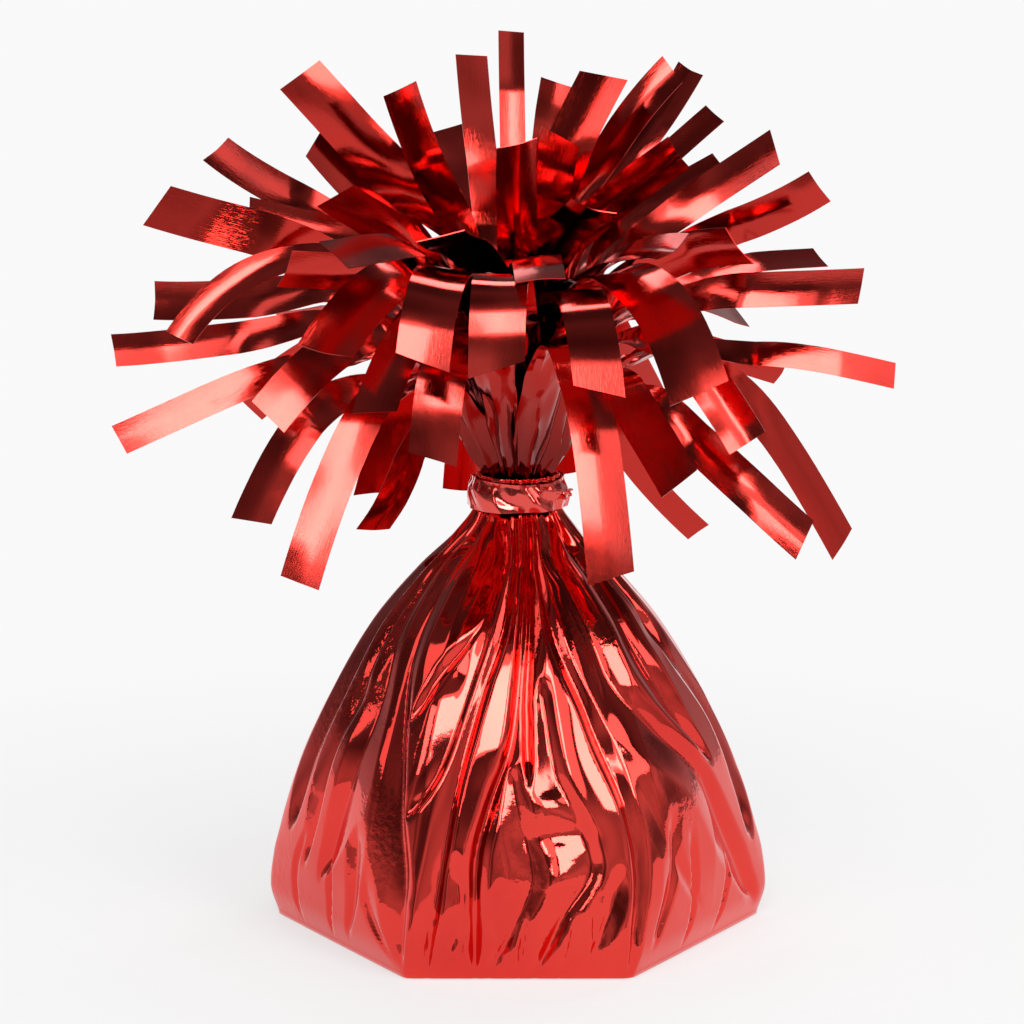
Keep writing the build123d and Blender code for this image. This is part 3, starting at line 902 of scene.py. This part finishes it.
def strip_grid(row, root_angle, root_r, lean, root_w, seed, settings):
    """Points of one cut strip, rows from its root in the neck to its cut end."""
    x, y, up, pitch, roll, width, rise, swing = row
    width = width * STRIP_SPREAD
    tip = np.array((x, y, TIE_TOP + up), float)
    tip_angle = math.atan2(y, x)
    out = np.array((math.cos(root_angle), math.sin(root_angle), 0.0))
    tip_out = np.array((math.cos(tip_angle), math.sin(tip_angle), 0.0))
    start = out * root_r + np.array((0.0, 0.0, LIP_TOP))
    leaning = math.radians(lean)
    pitching = math.radians(pitch)
    leave = out * math.sin(leaning) + np.array((0.0, 0.0, math.cos(leaning)))
    arrive = tip_out * math.cos(pitching) + np.array((0.0, 0.0, math.sin(pitching)))
    second = start + leave * rise
    third = tip - arrive * swing
    turn = (tip_angle - root_angle + math.pi) % (2 * math.pi) - math.pi
    t = np.linspace(0.0, 1.0, STRIP_ROWS)[:, None]
    s = 1.0 - t
    line = start * s ** 3 + second * (3 * s * s * t) + third * (3 * s * t * t) + tip * t ** 3
    along = unit((second - start) * s * s + (third - second) * 2 * s * t + (tip - third) * t * t)
    angle = root_angle + turn * smooth(t[:, 0])
    across = np.stack((-np.sin(angle), np.cos(angle), 0.0 * angle), axis=-1)
    across = unit(across - along * np.sum(across * along, axis=1, keepdims=True))
    normal = np.cross(along, across)
    rolled = math.radians(roll) * smooth((t - ROLL_FROM) / ROLL_OVER)
    across, normal = (
        across * np.cos(rolled) + normal * np.sin(rolled),
        normal * np.cos(rolled) - across * np.sin(rolled),
    )
    phase = WAVE_PHASE * scatter(seed, 1.0)
    wave = settings.wave / MM * np.sin(WAVE_TURNS * t + phase) * smooth(t / WAVE_OVER)
    kink_at = KINK_FROM + KINK_SPAN * scatter(seed, 5.0)
    bent = 2.0 * scatter(seed, 6.0) - 1.0
    kink = settings.kink / MM * math.copysign(0.5 + 0.5 * abs(bent), bent)
    kinked = np.maximum(1.0 - np.abs(t - kink_at) / KINK_REACH, 0.0)
    line = line + normal * (wave + kink * kinked)
    reach = np.hypot(line[:, 0], line[:, 1])[:, None]
    gather = settings.root_fold * (0.7 + 0.6 * scatter(seed, 4.0))
    fold = settings.cup * (2.0 * scatter(seed, 2.0) - 0.6) + gather * (1.0 - smooth(t / ROOT_UNFOLDS))
    half = np.minimum(width, ROOT_FULLNESS * root_w * reach / root_r / np.cos(fold)) / 2.0
    slant = math.tan(settings.slant) * (2.0 * scatter(seed, 3.0) - 1.0)
    eased = 1.0 - smooth((t - CRUSH_FROM) / CRUSH_OVER)
    crushed = settings.crush / MM * smooth(t / CRUSH_RISE) * eased
    sides = np.linspace(-1.0, 1.0, STRIP_COLUMNS)
    grid = []
    for side in sides:
        dents = noise_field(9.0 * t + 3.7 * seed, 1.3 * side + 0.0 * t, 6.0 * t * side)
        aside = across * (side * half * np.cos(fold))
        lifted = normal * (abs(side) ** CUP_POWER * half * np.sin(fold) + crushed * dents)
        ahead = along * (side * half * slant * smooth((t - SLANT_FROM) / SLANT_OVER))
        grid.append(line + aside + lifted + ahead)
    grid = np.stack(grid, axis=1)
    held = [grid[0] - (0.0, 0.0, below) for below in (ROOT_DEPTH, 0.5 * ROOT_DEPTH)]
    runs = np.concatenate(([0.0], np.cumsum(np.linalg.norm(np.diff(line, axis=0), axis=1))))
    lengths = np.concatenate(([-ROOT_DEPTH, -0.5 * ROOT_DEPTH], runs))
    halves = np.concatenate((half[:1, 0], half[:1, 0], half[:, 0]))
    film_x = halves[:, None] * sides + FILM_PITCH * seed
    film = np.stack((film_x, lengths[:, None] + 0.0 * sides), axis=-1)
    return np.concatenate((np.array(held), grid)), film


def make_fringe_layer(number, settings, front, reverse):
    count, first, lean = LAYERS[number - 1]
    root_r = OUTER_ROOT_R - LAYER_STEP * (number - 1)
    root_w = 2.0 * root_r * math.sin(math.pi / count) * ROOT_SHARE
    points = []
    faces = []
    film = []
    for slot, row in enumerate(FRINGE[number - 1]):
        root_angle = math.radians(first + 360.0 * slot / count)
        seed = 20 * number + slot
        grid, flat = strip_grid(row, root_angle, root_r, lean, root_w, seed, settings)
        faces += grid_faces(grid.shape[0], grid.shape[1], False, len(points))
        points += list(grid.reshape(-1, 3))
        film += list(flat.reshape(-1, 2))
    piece = new_piece(f"fringe_strips_{number}", points, faces, film)
    set_slots(piece, front, reverse)
    thicken(piece, settings.thickness, 1)
    bpy.ops.object.shade_smooth_by_angle(angle=math.radians(40.0))
    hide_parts(f"fringe_layer_{number}")
    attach(piece, "root")
    return piece


def aim(thing, target):
    thing.rotation_mode = "QUATERNION"
    thing.rotation_quaternion = (Vector(target) - thing.location).to_track_quat("-Z", "Y")


def softbox(name, place, target, wide, tall, glow):
    """Rectangular studio light of that glow, its size in metres."""
    bpy.ops.object.light_add(type="AREA", location=place)
    box = bpy.context.object
    box.name = name
    box.data.shape = "RECTANGLE"
    box.data.size = wide
    box.data.size_y = tall
    box.data.energy = glow * math.pi * wide * tall
    aim(box, target)
    return box


def floor_material(tone):
    """Pale matt floor that fades into an even white away from the object."""
    material, nodes, links, shader = node_material("pale_floor")
    coords = nodes.new("ShaderNodeTexCoord").outputs["Object"]
    paper = noise_node(nodes, links, coords, 300.0, 3.0)
    dimmer = tuple(0.985 * part for part in tone)
    links.new(ramp_node(nodes, links, paper, dimmer, tuple(tone)), shader.inputs["Base Color"])
    shader.inputs["Roughness"].default_value = 0.7
    shader.inputs["Specular IOR Level"].default_value = 0.1
    away = nodes.new("ShaderNodeVectorMath")
    away.operation = "LENGTH"
    links.new(coords, away.inputs[0])
    far = nodes.new("ShaderNodeMapRange")
    far.interpolation_type = "SMOOTHSTEP"
    far.inputs["From Min"].default_value = FLOOR_FADE[0]
    far.inputs["From Max"].default_value = FLOOR_FADE[1]
    links.new(away.outputs["Value"], far.inputs["Value"])
    light_path = nodes.new("ShaderNodeLightPath")
    seen = nodes.new("ShaderNodeMath")
    seen.operation = "MAXIMUM"
    links.new(light_path.outputs["Is Camera Ray"], seen.inputs[0])
    links.new(light_path.outputs["Is Glossy Ray"], seen.inputs[1])
    through = nodes.new("ShaderNodeMath")
    through.operation = "MAXIMUM"
    links.new(seen.outputs["Value"], through.inputs[0])
    links.new(light_path.outputs["Is Transmission Ray"], through.inputs[1])
    white = nodes.new("ShaderNodeEmission")
    white.inputs["Color"].default_value = (0.95, 0.95, 0.95, 1.0)
    blend = nodes.new("ShaderNodeMixShader")
    faded = multiply_node(nodes, links, far.outputs["Result"], through.outputs["Value"])
    links.new(faded, blend.inputs["Fac"])
    links.new(shader.outputs["BSDF"], blend.inputs[1])
    links.new(white.outputs["Emission"], blend.inputs[2])
    links.new(blend.outputs["Shader"], nodes["Material Output"].inputs["Surface"])
    return material


def set_surround(level):
    """Dim room with a pale band along the floor's far edge."""
    world = bpy.data.worlds.new("dim_studio")
    bpy.context.scene.world = world
    world.use_nodes = True
    nodes = world.node_tree.nodes
    links = world.node_tree.links
    coords = nodes.new("ShaderNodeTexCoord").outputs["Generated"]
    tilt = nodes.new("ShaderNodeVectorMath")
    tilt.operation = "DOT_PRODUCT"
    tilt.inputs[1].default_value = (-0.12, 0.08, 1.0)
    links.new(coords, tilt.inputs[0])
    ramp = nodes.new("ShaderNodeValToRGB")
    ramp.color_ramp.elements[0].position = 0.02
    ramp.color_ramp.elements[0].color = (0.78, 0.78, 0.78, 1.0)
    ramp.color_ramp.elements[1].position = 0.38
    ramp.color_ramp.elements[1].color = (level, level, level, 1.0)
    links.new(tilt.outputs["Value"], ramp.inputs["Fac"])
    room = noise_node(nodes, links, coords, 2.2, 1.0)
    uneven = range_node(nodes, links, room, 0.2, 1.0, 0.35, 0.65)
    links.new(ramp.outputs["Color"], nodes["Background"].inputs["Color"])
    links.new(uneven, nodes["Background"].inputs["Strength"])


class BALLOONWEIGHT_OT_finish_core(bpy.types.Operator):
    """Give the hidden core, its plate, its fill and the tie's wire their finishes"""

    bl_idname = "balloonweight.finish_core"
    bl_label = "Finish core"

    def execute(self, context):
        nodes = frame["nodes"]
        set_slots(nodes["base_plate"], card_material())
        set_slots(nodes["core_shell"], moulding_material())
        set_slots(nodes["ballast_fill"], mortar_material())
        set_slots(nodes["tie_wire"], wire_material())
        return {"FINISHED"}


class BALLOONWEIGHT_OT_gather_wrapper(bpy.types.Operator):
    """Gather the film wrapper round the core"""

    bl_idname = "balloonweight.gather_wrapper"
    bl_label = "Gather wrapper"

    def execute(self, context):
        make_wrapper(context.scene.weight_wrapper)
        return {"FINISHED"}


class BALLOONWEIGHT_OT_wind_tie(bpy.types.Operator):
    """Wind the twist tie round the neck"""

    bl_idname = "balloonweight.wind_tie"
    bl_label = "Wind twist tie"

    def execute(self, context):
        make_tie(context.scene.weight_tie)
        return {"FINISHED"}


class BALLOONWEIGHT_OT_fan_fringe(bpy.types.Operator):
    """Fan out the six layers of cut film strips"""

    bl_idname = "balloonweight.fan_fringe"
    bl_label = "Fan out fringe"

    def execute(self, context):
        settings = context.scene.weight_fringe
        tone = settings.front_tone
        shade = tuple(0.9 * part for part in tone)
        # The last number is the share of colour left in the painted shade at a strip's root, deeper on
        # the front than on the reverse.
        front = film_material("strip_foil", tone, shade, 0.06, 0.12, 0.01 * MM, 0.35)
        tone = settings.reverse_tone
        shade = tuple(0.9 * part for part in tone)
        reverse = film_material("strip_foil_reverse", tone, shade, 0.08, 0.16, 0.01 * MM, 0.85)
        for number in range(1, len(LAYERS) + 1):
            make_fringe_layer(number, settings, front, reverse)
        return {"FINISHED"}


class BALLOONWEIGHT_OT_set_stage(bpy.types.Operator):
    """Set the floor, the soft studio lights and the camera"""

    bl_idname = "balloonweight.set_stage"
    bl_label = "Set stage"

    def execute(self, context):
        settings = context.scene.weight_stage
        bpy.ops.object.select_all(action="DESELECT")
        bpy.ops.mesh.primitive_circle_add(vertices=96, radius=FLOOR_R, fill_type="NGON")
        ground = context.object
        ground.name = "studio_floor"
        set_slots(ground, floor_material(settings.floor_tone))
        set_surround(settings.surround)
        for name, place, wide, tall, glow in LIGHTS:
            softbox(name, place, LIGHT_TARGET, wide, tall, glow)
        bpy.ops.object.camera_add(location=CAMERA_PLACE)
        camera = context.object
        camera.name = "photo_camera"
        camera.data.sensor_width = 36.0
        camera.data.lens = CAMERA_LENS
        camera.data.clip_start = 0.01
        camera.data.clip_end = 50.0
        aim(camera, CAMERA_TARGET)
        context.scene.camera = camera
        context.scene.view_settings.view_transform = "Standard"
        return {"FINISHED"}


class BALLOONWEIGHT_PT_panel(bpy.types.Panel):
    """Steps and settings of the foil balloon weight"""

    bl_idname = "BALLOONWEIGHT_PT_panel"
    bl_label = "Balloon Weight"
    bl_space_type = "VIEW_3D"
    bl_region_type = "UI"
    bl_category = "Balloon Weight"

    def draw(self, context):
        steps = (
            (BALLOONWEIGHT_OT_finish_core, None),
            (BALLOONWEIGHT_OT_gather_wrapper, context.scene.weight_wrapper),
            (BALLOONWEIGHT_OT_wind_tie, context.scene.weight_tie),
            (BALLOONWEIGHT_OT_fan_fringe, context.scene.weight_fringe),
            (BALLOONWEIGHT_OT_set_stage, context.scene.weight_stage),
        )
        for step, settings in steps:
            box = self.layout.box()
            box.operator(step.bl_idname)
            if settings is not None:
                for name in settings.__annotations__:
                    box.prop(settings, name)


CLASSES = (
    WrapperSettings,
    TieSettings,
    FringeSettings,
    StageSettings,
    BALLOONWEIGHT_OT_finish_core,
    BALLOONWEIGHT_OT_gather_wrapper,
    BALLOONWEIGHT_OT_wind_tie,
    BALLOONWEIGHT_OT_fan_fringe,
    BALLOONWEIGHT_OT_set_stage,
    BALLOONWEIGHT_PT_panel,
)


def register():
    for item in CLASSES:
        bpy.utils.register_class(item)
    bpy.types.Scene.weight_wrapper = PointerProperty(type=WrapperSettings)
    bpy.types.Scene.weight_tie = PointerProperty(type=TieSettings)
    bpy.types.Scene.weight_fringe = PointerProperty(type=FringeSettings)
    bpy.types.Scene.weight_stage = PointerProperty(type=StageSettings)


def unregister():
    del bpy.types.Scene.weight_stage
    del bpy.types.Scene.weight_fringe
    del bpy.types.Scene.weight_tie
    del bpy.types.Scene.weight_wrapper
    for item in reversed(CLASSES):
        bpy.utils.unregister_class(item)


def main():
    register()
    bpy.ops.balloonweight.finish_core()
    bpy.ops.balloonweight.gather_wrapper()
    bpy.ops.balloonweight.wind_tie()
    bpy.ops.balloonweight.fan_fringe()
    bpy.ops.balloonweight.set_stage()


if __name__ == "__main__":
    main()
